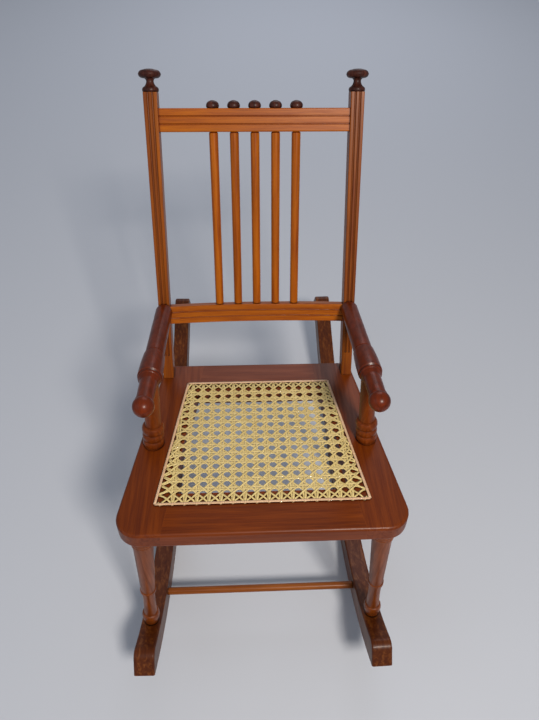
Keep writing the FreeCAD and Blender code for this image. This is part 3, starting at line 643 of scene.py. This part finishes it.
class CHAIR_OT_stage(bpy.types.Operator):
    """Set the floor, the lamps, the world and the camera"""

    bl_idname = "chair.stage"
    bl_label = "Set the Stage"

    def execute(self, context):
        scene = context.scene
        stage = scene.chair_stage
        scene.view_settings.view_transform = "Standard"
        deselect()
        bpy.ops.mesh.primitive_plane_add(size=12.0, location=(0.0, 0.0, -0.0005))
        floor = context.object
        floor.name = "stage_floor"
        bpy.ops.object.transform_apply(location=True, rotation=True, scale=True)
        floor.data.materials.append(studio_floor("#C2C6CD"))

        world = bpy.data.worlds.new("studio_world")
        scene.world = world
        world.use_nodes = True
        tree = world.node_tree
        tree.nodes.clear()
        ray = add_node(tree, "ShaderNodeLightPath")
        first = add_node(tree, "ShaderNodeMath", {"operation": "MAXIMUM"},
                         {0: (ray, "Is Camera Ray"), 1: (ray, "Is Glossy Ray")})
        seen = add_node(tree, "ShaderNodeMath", {"operation": "MAXIMUM"},
                        {0: (first, 0), 1: (ray, "Is Transmission Ray")})
        fill = add_node(tree, "ShaderNodeBackground",
                        {"Color": linear("#DDE4F0"), "Strength": 0.34})
        backdrop = add_node(tree, "ShaderNodeBackground",
                            {"Color": linear("#D6D8E0"), "Strength": 0.45})
        chosen = add_node(tree, "ShaderNodeMixShader",
                          links={0: (seen, 0), 1: (fill, "Background"),
                                 2: (backdrop, "Background")})
        add_node(tree, "ShaderNodeOutputWorld", links={"Surface": (chosen, "Shader")})

        centre = (0.0, -0.05, 0.35)
        behind = (0.0, 1.4, 0.0)
        soft_lamp("key_lamp", (0.42, -1.15, 1.75), centre, size=0.28, power=29.0, colour="#FFF6EC")
        soft_lamp("fill_lamp", (-1.7, -0.9, 1.5), centre, size=1.6, power=5.0, colour="#EEF3FF")
        soft_lamp("back_lamp", (0.3, 2.3, 1.7), behind, size=1.4, power=14.0, colour="#F4F6FF")

        camera_data = bpy.data.cameras.new("camera")
        camera = bpy.data.objects.new("camera", camera_data)
        scene.collection.objects.link(camera)
        camera_data.lens = stage.camera_lens
        camera_data.sensor_width = 36.0
        pitch, yaw, roll = stage.camera_pitch, stage.camera_yaw, stage.camera_roll
        forward = Vector((math.sin(yaw) * math.cos(pitch), math.cos(yaw) * math.cos(pitch),
                          -math.sin(pitch)))
        level = Vector((math.cos(yaw), -math.sin(yaw), 0.0))
        down = forward.cross(level)
        right = level * math.cos(roll) + down * math.sin(roll)
        below = down * math.cos(roll) - level * math.sin(roll)
        turn = Matrix((right, -below, -forward)).transposed().to_4x4()
        camera.matrix_world = Matrix.Translation(stage.camera_place) @ turn
        scene.camera = camera
        return {"FINISHED"}


class CHAIR_PT_pieces(bpy.types.Panel):
    """Lists the steps that dress the chair"""

    bl_idname = "CHAIR_PT_pieces"
    bl_label = "Rocking Chair"
    bl_space_type = "VIEW_3D"
    bl_region_type = "UI"
    bl_category = "Chair"

    def draw(self, context):
        layout = self.layout
        for settings in ("chair_cane", "chair_finish", "chair_stage"):
            box = layout.box()
            group = getattr(context.scene, settings)
            for key in group.bl_rna.properties.keys():
                if key not in ("rna_type", "name"):
                    box.prop(group, key)
        for piece in STEPS:
            layout.operator(piece.bl_idname)


SETTINGS = (
    ("chair_cane", ChairCaneSettings), ("chair_finish", ChairFinishSettings),
    ("chair_stage", ChairStageSettings))
STEPS = (CHAIR_OT_finishes, CHAIR_OT_cane, CHAIR_OT_stage)


def register():
    for name, group in SETTINGS:
        bpy.utils.register_class(group)
        setattr(bpy.types.Scene, name, bpy.props.PointerProperty(type=group))
    for step in STEPS:
        bpy.utils.register_class(step)
    bpy.utils.register_class(CHAIR_PT_pieces)


def unregister():
    bpy.utils.unregister_class(CHAIR_PT_pieces)
    for step in reversed(STEPS):
        bpy.utils.unregister_class(step)
    for name, group in reversed(SETTINGS):
        delattr(bpy.types.Scene, name)
        bpy.utils.unregister_class(group)


def main():
    register()
    bpy.ops.chair.finishes()
    bpy.ops.chair.cane()
    bpy.ops.chair.stage()
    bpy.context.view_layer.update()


if __name__ == "__main__":
    main()
